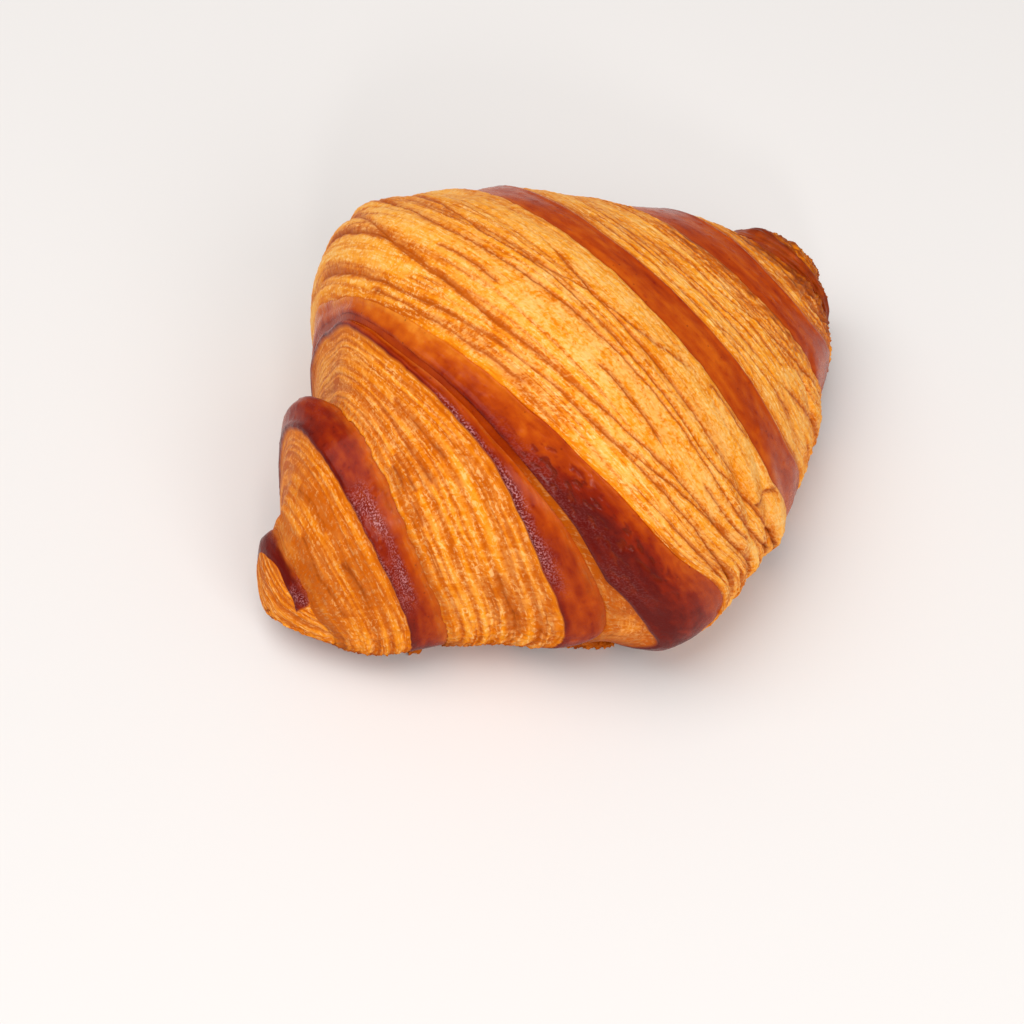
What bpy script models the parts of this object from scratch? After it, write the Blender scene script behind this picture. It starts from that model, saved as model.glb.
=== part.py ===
# Butter croissant: laminated dough rolled up, baked whole, made as one closed solid.
# Metres, +Z up. The roll lies along X and the origin is under the middle of the bounding box.
import math

import bmesh
import bpy
import numpy as np

# Driving dimensions in millimetres
rollLength = 139.0        # tip to tip
sideShare = 0.28          # height of the widest line, as a share of the height there
tipRadiusLeft = 14.5      # rounding of the blunt left end, along the roll
tipRadiusRight = 9.5      # rounding of the slimmer right end
undersidePower = 2.8      # above 2, the underside is squarer than an ellipse
tipLift = 3.3             # how far the two ends stand off the surface below
restDepth = 0.7           # how much of the underside was pressed flat by the tray
columns = 44              # points round the roll
lumpDepth = 0.5           # slow unevenness of the baked dough

# Half width and height of the roll at stations along it: share of half length, half width, height
stations = (
    (-1.00, 12.6, 21.0),
    (-0.75, 23.0, 44.0),
    (-0.50, 37.6, 59.2),
    (-0.25, 55.0, 69.6),
    (-0.05, 55.6, 67.8),
    (0.20, 48.4, 58.8),
    (0.45, 38.0, 49.4),
    (0.70, 24.5, 37.2),
    (0.88, 13.0, 28.0),
    (1.00, 5.0, 21.0),
)

# Where each edge of the wraps lies along the roll, read at five angles round it:
# front, low front, high front, crown and back
edgeAngles = (0.0, 22.0, 50.0, 90.0, 150.0)
edges = (
    (-68.0, -67.5, -67.0, -67.0, -66.0),
    (-63.5, -65.0, -65.0, -64.0, -61.0),
    (-53.0, -54.0, -55.0, -54.0, -51.0),
    (-47.0, -48.5, -48.5, -46.5, -44.0),
    (-31.0, -33.0, -34.0, -36.5, -35.0),
    (-24.0, -26.5, -31.0, -34.7, -33.6),
    (-20.0, -27.0, -30.4, -34.0, -33.0),
    (-3.5, -14.5, -23.5, -30.0, -31.0),
    (21.0, 16.0, 11.5, 5.5, 5.0),
    (30.0, 24.5, 20.0, 12.5, 13.0),
    (50.0, 46.0, 40.5, 33.5, 31.5),
    (59.0, 54.5, 47.5, 43.0, 42.5),
    (61.5, 61.0, 58.5, 53.0, 51.0),
    (64.0, 63.0, 60.5, 57.0, 58.0),
)

# Grooves, where a skin dips under the next wrap: depth at the front, crown and back
grooves = (
    (2.0, 3.8, 5.0),
    (1.1, 4.2, 5.0),
    (3.6, 0.9, 1.5),
    (0.9, 2.2, 1.6),
    (1.7, 1.6, 1.8),
    (1.0, 2.6, 2.8),
)
grooveBelow = 0.5         # depth of every groove on the underside

# What lies between two edges, from the left end to the right end: kind, rows of points, its groove.
# A skin is the smooth outside of a wrap. A cut is the layered side of a wrap, which fans open.
# Its groove is at the left where it "rises" and at the right where it "falls".
strips = (
    ("end", 4, None),
    ("skin falls", 3, 0),
    ("cut rises", 10, 0),
    ("skin falls", 5, 1),
    ("cut rises", 11, 1),
    ("skin falls", 4, 2),
    ("cut rises", 3, 2),
    ("skin round", 6, None),
    ("cut falls", 19, 3),
    ("skin rises", 5, 3),
    ("cut falls", 12, 4),
    ("skin rises", 5, 4),
    ("cut falls", 6, 5),
    ("skin rises", 3, 5),
    ("end", 6, None),
)
lapStep = 1.2             # thickness of the wrap that lies over a skin at its groove
lapWidth = 0.7            # how quickly that wrap rises out of the groove
cutHollowLeft = 0.35      # below 1, a cut falls steeply from its crest and then runs level
cutHollowRight = 1.0      # at 1 it slopes evenly
layerPitch = 2.3          # width of one bundle of layers in a cut
layerDepth = 0.55         # how deep the line between two bundles is


def smoothThrough(knots, values, at):
    """Smooth curve through the given points."""
    knots = np.asarray(knots, float)
    values = np.asarray(values, float)
    slopes = np.gradient(values, knots)
    at = np.clip(at, knots[0], knots[-1])
    cell = np.clip(np.searchsorted(knots, at, side="right") - 1, 0, len(knots) - 2)
    width = knots[cell + 1] - knots[cell]
    part = (at - knots[cell]) / width
    rest = 1.0 - part
    return (values[cell] * (1.0 + 2.0 * part) * rest**2
            + values[cell + 1] * part**2 * (3.0 - 2.0 * part)
            + slopes[cell] * width * part * rest**2
            - slopes[cell + 1] * width * part**2 * rest)


def edgeAt(row, angle):
    """Place of an edge along the roll, at angles in degrees: 0 front, 90 crown, 180 back, 270 underside."""
    front = row[0]
    back = row[-1]
    below = 0.5 * (front + back)
    ring = [(a, v) for a, v in zip(edgeAngles, row)]
    ring += [(210.0, 0.75 * back + 0.25 * front), (270.0, below), (330.0, 0.75 * front + 0.25 * back)]
    ring = [(a - 360.0, v) for a, v in ring[-3:]] + ring + [(a + 360.0, v) for a, v in ring[:3]]
    knots = [a for a, v in ring]
    values = [v for a, v in ring]
    return smoothThrough(knots, values, np.mod(angle, 360.0))


def bodyPoint(along, angle, depth):
    """Point of the roll at a place along it and an angle round it, sunk by depth along the normal."""
    half = rollLength / 2.0
    share = along / half
    tipRadius = np.where(along < 0.0, tipRadiusLeft, tipRadiusRight)
    inTip = np.clip((np.abs(along) - (half - tipRadius)) / tipRadius, 0.0, 1.0)
    tip = np.sqrt(np.clip(1.0 - inTip**2, 0.0, 1.0))
    shares = [row[0] for row in stations]
    width = smoothThrough(shares, [row[1] for row in stations], share) * tip
    height = smoothThrough(shares, [row[2] for row in stations], share)
    middle = sideShare * height
    above = (height - middle) * tip
    below = middle * tip
    turn = np.radians(angle)
    c = np.cos(turn)
    s = np.sin(turn)
    power = 2.0 / undersidePower
    upper = s >= 0.0
    y = width * np.where(upper, c, np.sign(c) * np.abs(c)**power)
    z = np.where(upper, above * s, -below * np.abs(s)**power)
    tall = np.where(upper, above, below)
    normalY = c * tall
    normalZ = s * width
    size = np.sqrt(normalY**2 + normalZ**2) + 1e-6
    y = y - depth * normalY / size
    z = z - depth * normalZ / size
    lift = tipLift * np.abs(share)**4
    return along, -y, middle + z + lift


def lumps(along, angle):
    """Slow unevenness, the same on every run."""
    turn = np.radians(angle)
    return lumpDepth * (np.sin(along / 9.0 + 2.0 * np.cos(turn)) * np.cos(2.0 * turn + along / 17.0)
                        + 0.6 * np.sin(3.0 * turn - along / 12.0))


def grooveDepth(groove, angle):
    """Depth of a groove at angles round the roll."""
    front, crown, back = grooves[groove]
    knots = (-90.0, 0.0, 90.0, 180.0, 270.0, 360.0)
    values = (grooveBelow, front, crown, back, grooveBelow, front)
    return smoothThrough(knots, values, np.mod(angle, 360.0))


def stripDepth(kind, share, width, groove, angle):
    """How far a strip lies under the smooth roll, at a share of its width."""
    if kind == "end":
        return 0.0 * angle
    if kind == "skin round":
        return 0.35 * (2.0 * share - 1.0)**4 + 0.0 * angle
    deep = grooveDepth(groove, angle)
    away = share if "rises" in kind else 1.0 - share
    if kind.startswith("skin"):
        return deep * (1.0 - away)**1.4
    step = np.minimum(lapStep, 0.8 * deep)
    bundles = max(1, round(float(np.mean(width)) / layerPitch))
    place = share * bundles
    line = layerDepth * (1.0 - np.abs(np.sin(math.pi * place))**0.5)
    line = line * np.clip(np.minimum(place, bundles - place) * 2.0, 0.0, 1.0)
    above = 0.3 + 0.7 * np.clip(np.sin(np.radians(angle)) + 0.6, 0.0, 1.0)
    hollow = cutHollowLeft if "rises" in kind else cutHollowRight
    return (deep - step) * (1.0 - away)**hollow + step * np.exp(-away * width / lapWidth) + line * above


def shareRows(kind, rows):
    """Shares of a strip's width at which it has a row of points."""
    if kind.startswith("skin rises"):
        return [(row / rows)**1.5 for row in range(rows)]
    if kind.startswith("skin falls"):
        return [1.0 - (1.0 - row / rows)**1.5 for row in range(rows)]
    return [row / rows for row in range(rows)]


# Rings of points from the left end to the right end
angles = (np.arange(columns) + 0.5) * 360.0 / columns
half = rollLength / 2.0
lines = [np.full(columns, -half)]
for row in edges:
    line = edgeAt(row, angles)
    lines.append(np.maximum(line, lines[-1] + 0.6))
lines.append(np.full(columns, half))
for index in range(len(lines) - 2, 0, -1):
    lines[index] = np.minimum(lines[index], lines[index + 1] - 0.6)

rings = []
for index, (kind, rows, groove) in enumerate(strips):
    start = lines[index]
    width = lines[index + 1] - start
    if index == 0:
        shares = [1.0 - math.cos(math.radians(90.0 * (row + 1) / (rows + 1))) for row in range(rows)]
    elif index == len(strips) - 1:
        shares = [math.sin(math.radians(90.0 * row / rows)) for row in range(rows)]
    else:
        shares = shareRows(kind, rows)
    for share in shares:
        along = start + share * width
        depth = stripDepth(kind, share, width, groove, angles) + lumps(along, angles)
        rings.append(np.stack(bodyPoint(along, angles, depth), axis=1))

# The tray presses the lowest part flat
for ring in rings:
    ring[:, 2] = np.maximum(ring[:, 2] - restDepth, 0.0)
leftPole = np.array([rings[0][:, 0].min() - 0.5, 0.0, rings[0][:, 2].mean()])
rightPole = np.array([rings[-1][:, 0].max() + 0.5, 0.0, rings[-1][:, 2].mean()])
cloud = np.concatenate(rings)
centre = np.array([(cloud[:, 0].min() + cloud[:, 0].max()) / 2.0,
                   (cloud[:, 1].min() + cloud[:, 1].max()) / 2.0, 0.0])

for item in list(bpy.data.objects):
    bpy.data.objects.remove(item)

# One ring after another, joined by faces, with a fan at each end
body = bmesh.new()
rows = [[body.verts.new((point - centre) / 1000.0) for point in ring] for ring in rings]
left = body.verts.new((leftPole - centre) / 1000.0)
right = body.verts.new((rightPole - centre) / 1000.0)
for first, second in zip(rows, rows[1:]):
    for place in range(columns):
        after = (place + 1) % columns
        body.faces.new((first[place], first[after], second[after], second[place]))
for place in range(columns):
    after = (place + 1) % columns
    body.faces.new((left, rows[0][after], rows[0][place]))
    body.faces.new((right, rows[-1][place], rows[-1][after]))
bmesh.ops.recalc_face_normals(body, faces=body.faces)
bmesh.ops.triangulate(body, faces=body.faces)
mesh = bpy.data.meshes.new("croissant")
body.to_mesh(mesh)
body.free()
mesh.shade_smooth()
croissant = bpy.data.objects.new("croissant", mesh)
bpy.context.collection.objects.link(croissant)

# Baked butter dough: orange brown, lightly glossed by egg wash
crust = bpy.data.materials.new("baked_crust")
crust.use_nodes = True
shader = crust.node_tree.nodes["Principled BSDF"]
shader.inputs["Base Color"].default_value = (0.60, 0.24, 0.055, 1.0)
shader.inputs["Roughness"].default_value = 0.45
shader.inputs["Metallic"].default_value = 0.0
mesh.materials.append(crust)
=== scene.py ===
import math
from functools import partial
import bpy
import numpy as np
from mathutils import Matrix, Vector, noise


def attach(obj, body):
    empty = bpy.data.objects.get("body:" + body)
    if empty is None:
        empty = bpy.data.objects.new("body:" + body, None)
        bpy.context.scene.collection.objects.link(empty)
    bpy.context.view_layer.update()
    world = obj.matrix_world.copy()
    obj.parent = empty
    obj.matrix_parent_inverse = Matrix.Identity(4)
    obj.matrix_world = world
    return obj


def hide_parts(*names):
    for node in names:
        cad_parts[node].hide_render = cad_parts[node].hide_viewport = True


# Butter croissant: every wrap of the roll is its own closed piece, laid over its neighbours as the dough
# was rolled. The dough is measured in millimetres, along the roll from its middle and in degrees round it:
# 0 is the front, 90 the crown, 180 the back and 270 or -90 the underside. The studio is in metres.
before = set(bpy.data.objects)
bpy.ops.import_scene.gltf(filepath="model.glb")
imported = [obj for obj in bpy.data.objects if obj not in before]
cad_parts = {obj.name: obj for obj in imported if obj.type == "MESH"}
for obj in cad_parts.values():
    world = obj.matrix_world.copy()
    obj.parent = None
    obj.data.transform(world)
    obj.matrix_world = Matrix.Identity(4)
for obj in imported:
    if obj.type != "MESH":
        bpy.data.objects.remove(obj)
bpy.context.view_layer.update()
mm = 0.001

# The smooth roll and its wraps, with the values of the CAD part
roll = {
    "length": 139.0,          # tip to tip
    "sideShare": 0.28,        # height of the widest line, as a share of the height there
    "tipLeft": 14.5,          # rounding of the blunt left end, along the roll
    "tipRight": 9.5,          # rounding of the slimmer right end
    "undersidePower": 2.8,    # above 2 the underside is squarer than an ellipse
    "tipLift": 3.3,           # how far the two ends stand off the table
    "restDepth": 0.7,         # what the tray pressed flat
    "lumpDepth": 0.5,         # slow unevenness of the baked dough
    "shift": (0.058, -0.244),    # brings the middle of the box to the origin
    "narrowest": 0.6,         # no strip gets narrower than this
    "endWidth": 14.0,         # width that the pattern of a blunt end is laid out on
    # share of half length, half width, height
    "stations": ((-1.00, 12.6, 21.0), (-0.75, 23.0, 44.0), (-0.50, 37.6, 59.2), (-0.25, 55.0, 69.6),
                 (-0.05, 55.6, 67.8), (0.20, 48.4, 58.8), (0.45, 38.0, 49.4), (0.70, 24.5, 37.2),
                 (0.88, 13.0, 28.0), (1.00, 5.0, 21.0)),
}

# Edges of the wraps along the roll, at the front, low front, high front, crown and back
edgeAngles = (0.0, 22.0, 50.0, 90.0, 150.0)
edges = (
    (-67.4, -67.3, -67.2, -66.7, -65.8),
    (-63.5, -65.0, -65.2, -64.6, -61.8),
    (-53.0, -54.0, -55.0, -54.0, -51.0),
    (-47.0, -48.5, -48.5, -46.5, -44.0),
    (-31.0, -33.0, -34.0, -36.5, -35.0),
    (-24.0, -26.5, -31.0, -34.7, -33.6),
    (-20.0, -27.0, -30.4, -34.0, -33.0),
    (-3.5, -14.5, -23.5, -30.0, -31.0),
    (21.0, 16.0, 11.5, 5.5, 5.0),
    (30.0, 24.5, 20.0, 12.5, 13.0),
    (50.0, 46.0, 40.5, 33.5, 31.5),
    (59.0, 54.5, 47.5, 43.0, 42.5),
    (61.5, 61.0, 58.5, 53.0, 51.0),
    (64.0, 63.0, 60.5, 57.0, 58.0),
)
# Waves of each torn and risen edge, coarse and fine: height, how many go round the roll, seed
lapWaves = ((0.55, 26, 11), (0.3, 70, 12))
cutWaves = ((0.30, 22, 13), (0.12, 80, 14))
tipWaves = ((0.45, 12, 11), (0.15, 34, 12))    # the girth is small here
edgeWaves = (((0.35, 11, 13),), tipWaves, cutWaves, lapWaves, cutWaves, ((0.25, 26, 11),), cutWaves, cutWaves,
             lapWaves, cutWaves, lapWaves, cutWaves, tipWaves, cutWaves)
fanOut = 3.6    # how far the layers between the two middle skins spread on their way down to the table
# Depth of each groove, where one wrap laps over the next, at the front, crown and back
grooves = ((0.4, 2.6, 5.0), (1.1, 4.2, 5.0), (3.6, 0.9, 1.5), (0.9, 2.2, 1.6), (1.7, 1.6, 1.8), (1.0, 2.6, 2.8))
grooveBelow = 0.5    # depth of every groove on the underside
# What lies between two edges: a skin is the egg-washed outside, a cut is the open layered side
strips = (
    ("end", None), ("skin falls", 0), ("cut rises", 0), ("skin falls", 1), ("cut rises", 1),
    ("skin falls", 2), ("cut rises", 2), ("skin round", None), ("cut falls", 3), ("skin rises", 3),
    ("cut falls", 4), ("skin rises", 4), ("cut falls", 5), ("skin rises", 5), ("end", None),
)
lap = {
    "steps": (0.3, 0.3, 0.3, 0.75, 0.75, 0.6),    # thickness of the dough over the skin at each groove
    "round": 1.3,             # how far from its edge that dough starts to roll down
    "hollowLeft": 0.35,       # below 1, a cut falls steeply from its crest and then runs level
    "hollowRight": 1.0,       # at 1 it slopes evenly
    "waveReach": 1.8,         # how far from an edge its waves are felt inside a strip
}
# How a wrap runs on out of sight, left (-1) or right (1) of its strips: past the edge, depth under the groove
tucks = {
    ("cut rises", -1): ((-0.1, 0.7), (-0.3, 1.4), (-0.5, 2.2)),
    ("skin rises", -1): ((0.6, 0.25), (1.2, 0.8), (1.9, 1.7), (2.6, 3.0)),
    ("cut falls", -1): ((0.4, 0.3), (1.0, 0.8), (1.8, 1.7), (2.4, 2.8)),
    ("skin falls", 1): ((0.0, 0.0), (0.6, 0.25), (1.2, 0.8), (1.9, 1.7), (2.6, 3.0)),
    ("cut falls", 1): ((0.0, 0.0), (-0.1, 0.7), (-0.3, 1.4), (-0.5, 2.2)),
    ("skin round", 1): ((0.05, 0.15), (0.06, 0.4), (0.0, 0.9), (-0.2, 1.6)),
}
# What the material reads on every piece, 0 to 1; the crease mask is painted shade, the parting lines placed by gap are
# painted shade, ridge is partly painted light and shade
maskNames = ("skin", "ridge", "creaseShade", "bake", "pale", "gap", "glitter")
farOff = 9.0    # distance given where no parting is near


def smoothThrough(knots, values, at):
    knots = np.asarray(knots, float)
    values = np.asarray(values, float)
    slopes = np.gradient(values, knots)
    at = np.clip(at, knots[0], knots[-1])
    cell = np.clip(np.searchsorted(knots, at, side="right") - 1, 0, len(knots) - 2)
    width = knots[cell + 1] - knots[cell]
    part = (at - knots[cell]) / width
    rest = 1.0 - part
    return (values[cell] * (1.0 + 2.0 * part) * rest**2 + values[cell + 1] * part**2 * (3.0 - 2.0 * part)
            + slopes[cell] * width * part * rest**2 - slopes[cell + 1] * width * part**2 * rest)


def softStep(low, high, value):
    part = np.clip((value - low) / (high - low), 0.0, 1.0)
    return part * part * (3.0 - 2.0 * part)


def between(value, start, full, fading, end):
    # 0 up to start, 1 from full to fading, 0 again from end on
    return softStep(start, full, value) * softStep(end, fading, value)


def within(value, low, high, soft):
    return between(value, low - soft, low + soft, high - soft, high + soft)


def notBelow(angle):
    # 1 over the roll, 0 on its underside
    return np.clip(np.sin(np.radians(angle)) + 0.6, 0.0, 1.0)


def hashed(ix, iy, seed):
    n = (ix * 374761393 + iy * 668265263 + seed * 362437) & 0xFFFFFFFF
    n = ((n ^ (n >> 13)) * 1274126177) & 0xFFFFFFFF
    n = ((n ^ (n >> 15)) * 2246822519) & 0xFFFFFFFF
    return (n ^ (n >> 16)) / 4294967295.0


def doughNoise(across, around, wraps, seed):
    # smooth noise in about -1 to 1 that closes on itself after so many cells round the roll
    ix = np.floor(across).astype(np.int64)
    iy = np.floor(around).astype(np.int64)
    fx = across - ix
    fy = around - iy

    def corner(dx, dy):
        turn = hashed(ix + dx, np.mod(iy + dy, wraps), seed) * 2.0 * math.pi
        return np.cos(turn) * (fx - dx) + np.sin(turn) * (fy - dy)

    sx = fx**3 * (fx * (fx * 6.0 - 15.0) + 10.0)
    sy = fy**3 * (fy * (fy * 6.0 - 15.0) + 10.0)
    low = corner(0, 0) * (1.0 - sx) + corner(1, 0) * sx
    high = corner(0, 1) * (1.0 - sx) + corner(1, 1) * sx
    return 1.5 * (low * (1.0 - sy) + high * sy)


def streaks(place, sizeAcross, sizeAround, seed):
    # noise cells of so many millimetres across the strip and round the roll
    wraps = max(1, round(place["girth"] / sizeAround))
    return doughNoise(place["across"] / sizeAcross, place["turn"] * wraps, wraps, seed)


def blisters(place, spacing, radius, share, seed, longer=1.0):
    # scattered low domes, 0 to 1
    wraps = max(1, round(place["girth"] / (spacing * longer)))
    x = place["across"] / spacing
    y = place["turn"] * wraps
    ix = np.floor(x).astype(np.int64)
    iy = np.floor(y).astype(np.int64)
    best = np.zeros_like(x)
    for dx in (-1, 0, 1):
        for dy in (-1, 0, 1):
            cx = ix + dx
            cy = np.mod(iy + dy, wraps)
            px = cx + 0.15 + 0.7 * hashed(cx, cy, seed)
            py = iy + dy + 0.15 + 0.7 * hashed(cx, cy, seed + 1)
            size = radius / spacing * (0.4 + 0.6 * hashed(cx, cy, seed + 2))
            there = (hashed(cx, cy, seed + 3) < share) * (0.35 + 0.65 * hashed(cx, cy, seed + 4))
            away = ((x - px)**2 + (y - py)**2) / size**2
            best = np.maximum(best, np.clip(1.0 - away, 0.0, 1.0)**1.5 * there)
    return best


def routeDistance(x, y, route):
    # distance to a route in millimetres, which side of it, and how far along it, 0 to 1
    for _ in range(2):    # round its corners
        cut = [route[0]]
        for a, b in zip(route, route[1:]):
            cut += [tuple(near * p + (1.0 - near) * q for p, q in zip(a, b)) for near in (0.75, 0.25)]
        route = cut + [route[-1]]
    points = np.array(route)
    lengths = np.hypot(*np.diff(points, axis=0).T)
    starts = np.concatenate([[0.0], np.cumsum(lengths)])
    best = np.full(x.shape, 1e9)
    side = np.zeros(x.shape)
    done = np.zeros(x.shape)
    low = points.min(axis=0) - 6.0
    high = points.max(axis=0) + 6.0
    near = (x > low[0]) & (x < high[0]) & (y > low[1]) & (y < high[1])
    xn, yn = x[near], y[near]
    bn, sn, dn = best[near], side[near], done[near]
    for index, (a, b) in enumerate(zip(points, points[1:])):
        if lengths[index] < 1e-6:
            continue
        ux, uy = (b - a) / lengths[index]
        t = np.clip((xn - a[0]) * ux + (yn - a[1]) * uy, 0.0, lengths[index])
        dx = xn - a[0] - t * ux
        dy = yn - a[1] - t * uy
        far = np.hypot(dx, dy)
        closer = far < bn
        bn = np.where(closer, far, bn)
        sn = np.where(closer, np.sign(dx * uy - dy * ux), sn)
        dn = np.where(closer, (starts[index] + t) / starts[-1], dn)
    best[near], side[near], done[near] = bn, sn, dn
    return best, side, done


def edgeAt(row, angle):
    front, back = row[0], row[-1]
    ring = list(zip(edgeAngles, row))
    ring += [(210.0, 0.75 * back + 0.25 * front), (270.0, 0.5 * (front + back)), (330.0, 0.75 * front + 0.25 * back)]
    ring = [(a - 360.0, v) for a, v in ring[-3:]] + ring + [(a + 360.0, v) for a, v in ring[:3]]
    return smoothThrough([a for a, v in ring], [v for a, v in ring], np.mod(angle, 360.0))


def edgeLines(angle, torn=1.0):
    # every edge with the small waves of a torn and risen dough edge
    signed = np.mod(angle + 90.0, 360.0) - 90.0
    turn = np.mod(angle, 360.0) / 360.0
    half = roll["length"] / 2.0
    lines = [np.full(angle.shape, -half)]
    for index, row in enumerate(edges):
        flat = np.full(angle.shape, 3.7 * index)
        wave = torn * sum(height * doughNoise(flat + 0.5 * part, turn * count, count, seed)
                          for part, (height, count, seed) in enumerate(edgeWaves[index]))
        if index == 6:
            wave = wave + fanOut * between(signed, -75.0, -35.0, -22.0, 8.0)
        lines.append(np.maximum(edgeAt(row, angle) + wave, lines[-1] + roll["narrowest"]))
    lines.append(np.full(angle.shape, half))
    for index in range(len(lines) - 2, 0, -1):
        lines[index] = np.minimum(lines[index], lines[index + 1] - roll["narrowest"])
    return lines


def rollPoint(along, angle, depth):
    half = roll["length"] / 2.0
    share = along / half
    tipSize = np.where(along < 0.0, roll["tipLeft"], roll["tipRight"])
    inTip = np.clip((np.abs(along) - (half - tipSize)) / tipSize, 0.0, 1.0)
    tip = np.sqrt(np.clip(1.0 - inTip**2, 0.0, 1.0))
    shares = [row[0] for row in roll["stations"]]
    width = smoothThrough(shares, [row[1] for row in roll["stations"]], share) * tip
    height = smoothThrough(shares, [row[2] for row in roll["stations"]], share)
    middle = roll["sideShare"] * height
    above = (height - middle) * tip
    below = middle * tip
    turn = np.radians(angle)
    c, s = np.cos(turn), np.sin(turn)
    power = 2.0 / roll["undersidePower"]
    y = width * np.where(s >= 0.0, c, np.sign(c) * np.abs(c)**power)
    z = np.where(s >= 0.0, above * s, -below * np.abs(s)**power)
    normalY = c * np.where(s >= 0.0, above, below)
    normalZ = s * width
    size = np.sqrt(normalY**2 + normalZ**2) + 1e-6
    y = y - depth * normalY / size
    z = z - depth * normalZ / size
    return np.stack([along + 0.0 * y, -y, middle + z + roll["tipLift"] * np.abs(share)**4], axis=-1)


def lumps(along, angle):
    turn = np.radians(angle)
    return roll["lumpDepth"] * (np.sin(along / 9.0 + 2.0 * np.cos(turn)) * np.cos(2.0 * turn + along / 17.0)
                                + 0.6 * np.sin(3.0 * turn - along / 12.0))


# Where the real dough draws in (above 0) or stands out beside the plain roll: depth, then from, to and softness
# along the roll and round it
patches = (
    (2.7, (-45.0, -32.0, 2.0), (130.0, 200.0, 12.0)), (2.3, (-32.0, -26.5, 2.0), (156.0, 195.0, 10.0)),
    (-2.1, (-49.8, -45.5, 1.3), (122.0, 185.0, 12.0)), (2.2, (-60.5, -56.5, 2.0), (125.0, 190.0, 12.0)),
    (-0.9, (-65.0, -62.0, 1.2), (122.0, 168.0, 10.0)), (1.2, (-45.0, -41.0, 1.5), (114.0, 138.0, 8.0)),
    (1.2, (-4.5, 1.0, 2.0), (121.0, 138.0, 6.0)), (-0.9, (-14.0, -9.0, 2.0), (134.0, 150.0, 6.0)),
    (1.0, (-2.0, 15.0, 4.0), (-75.0, 5.0, 8.0)), (0.9, (-24.0, -17.5, 2.0), (-75.0, 5.0, 8.0)),
    (-0.7, (-36.0, -26.0, 3.0), (-75.0, 5.0, 8.0)), (-0.9, (38.0, 47.0, 3.5), (-45.0, 16.0, 8.0)),
)
# Low on the right the bundles of layers end in pillows: middle and half width along the roll, depth
pillowFolds = ((45.6, 1.0, 0.9), (42.3, 1.6, -0.4), (39.2, 0.8, 0.8), (35.6, 1.8, -0.5), (29.3, 2.0, 0.5),
               (17.5, 2.2, -0.7), (13.2, 1.1, 0.6), (9.8, 1.6, -0.7), (6.2, 0.9, 0.5), (3.0, 1.4, -0.6))


def trim(along, angle):
    # how far the dough lies under the plain roll, or over it
    found = sum(depth * within(along, *span) * within(angle, *arc) for depth, span, arc in patches)
    found = found + 1.7 * softStep(-57.0, -68.5, along) * softStep(35.0, -15.0, angle)    # low on the left tip
    found = found + softStep(57.0, 66.0, along) * (    # the right tip is slimmer and notched
        0.7 * within(angle, -40.0, 210.0, 20.0) + 0.8 * within(angle, 62.0, 142.0, 14.0)
        + 1.9 * np.exp(-((angle - 47.0) / 8.0)**2))
    folds = sum(depth * np.exp(-((along - middle) / half)**2) for middle, half, depth in pillowFolds)
    return found + folds * within(angle, -38.0, 30.0, 9.0)


def grooveDepth(groove, angle):
    front, crown, back = grooves[groove]
    return smoothThrough((-90.0, 0.0, 90.0, 180.0, 270.0, 360.0),
                         (grooveBelow, front, crown, back, grooveBelow, front), np.mod(angle, 360.0))


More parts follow.
